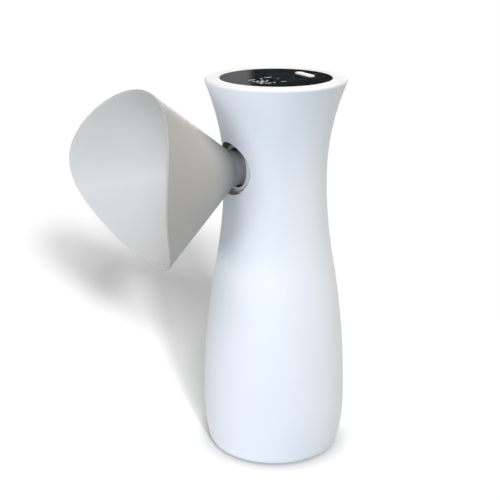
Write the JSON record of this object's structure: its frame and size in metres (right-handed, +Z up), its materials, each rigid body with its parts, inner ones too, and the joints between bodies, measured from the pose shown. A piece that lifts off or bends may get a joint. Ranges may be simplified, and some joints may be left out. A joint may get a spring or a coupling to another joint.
{
  "type": "digital spirometer",
  "caption": "Hand-held breath meter: a waisted white body with a round black display on top and a face-fitting cone mouthpiece in a port at the waist.",
  "frame": {"origin": "middle of the face of the foot pad that the object stands on", "axes": "+Z up along the body, mouthpiece towards -X, key and exhaust towards +X"},
  "size_m": [0.1055, 0.0944, 0.1653],
  "materials": {
    "shell_white": "smooth matte white paint over moulded plastic",
    "cone_grey": "fine matte moulded plastic, light grey",
    "collar_grey": "matte moulded plastic, light grey",
    "base_grey": "fine textured moulded plastic",
    "dark_plastic": "moulded plastic, dark",
    "glass_black": "polished cover glass, printed black underneath",
    "key_white": "satin white moulded plastic",
    "rubber_dark": "soft moulded rubber",
    "steel": "plated steel",
    "nickel": "nickel-plated spring steel",
    "duct_plastic": "clear-finished moulded plastic",
    "jewel_red": "polished bearing cup",
    "board_green": "solder-masked laminate",
    "chip_black": "moulded package",
    "cell_wrap": "shrink-wrapped steel can",
    "wire_red": "insulated wire",
    "ribbon_amber": "flexible film circuit"
  },
  "bodies": {
    "housing": {"body_shell": "shell_white", "base_cap": "base_grey", "base_screws": "steel", "foot_pad": "rubber_dark", "port_collar": "collar_grey", "exhaust_grille": "collar_grey", "flow_tube": "duct_plastic", "front_swirler": "duct_plastic", "rear_swirler": "duct_plastic", "front_bearing": "jewel_red", "rear_bearing": "jewel_red", "emitter_board": "board_green", "receiver_board": "board_green", "ir_emitters": "duct_plastic", "ir_receivers": "chip_black", "sensor_ribbons": "ribbon_amber", "duct_cradle": "dark_plastic", "duct_clamps": "dark_plastic", "clamp_screws": "steel", "cradle_screws": "steel", "battery_cell": "cell_wrap", "battery_cradle": "dark_plastic", "positive_contact": "nickel", "negative_contact": "nickel", "battery_leads": "wire_red", "charge_leads": "wire_red", "holder_screws": "steel", "charge_board": "board_green", "usb_socket": "steel", "charge_screws": "steel", "main_board": "board_green", "board_chips": "chip_black", "ribbon_connectors": "duct_plastic", "tact_switch": "chip_black", "display_carrier": "dark_plastic", "display_module": "chip_black", "display_ribbon": "ribbon_amber", "board_screws": "steel", "lens_gasket": "rubber_dark", "display_lens": "glass_black"},
    "seal": {"port_seal": "rubber_dark"},
    "mouthpiece": {"mouthpiece": "cone_grey"},
    "rotor": {"rotor_vane": "dark_plastic", "rotor_axle": "steel"},
    "button": {"power_button": "key_white", "switch_plunger": "dark_plastic"}
  },
  "joints": [
    {"name": "mouthpiece_turn", "type": "hinge", "parent": "housing", "child": "seal", "pos_m": [0, 0, 0.129], "axis": [-1, 0, 0], "continuous": true},
    {"name": "mouthpiece_pull", "type": "slide", "parent": "seal", "child": "mouthpiece", "axis": [-1, 0, 0], "range_m": [0, 0.03]},
    {"name": "rotor_spin", "type": "hinge", "parent": "housing", "child": "rotor", "pos_m": [0, 0, 0.129], "axis": [1, 0, 0], "continuous": true},
    {"name": "button_press", "type": "slide", "parent": "housing", "child": "button", "axis": [0, 0, -1], "range_m": [0, 0.0005], "stiffness_N_per_m": 3000}
  ]
}
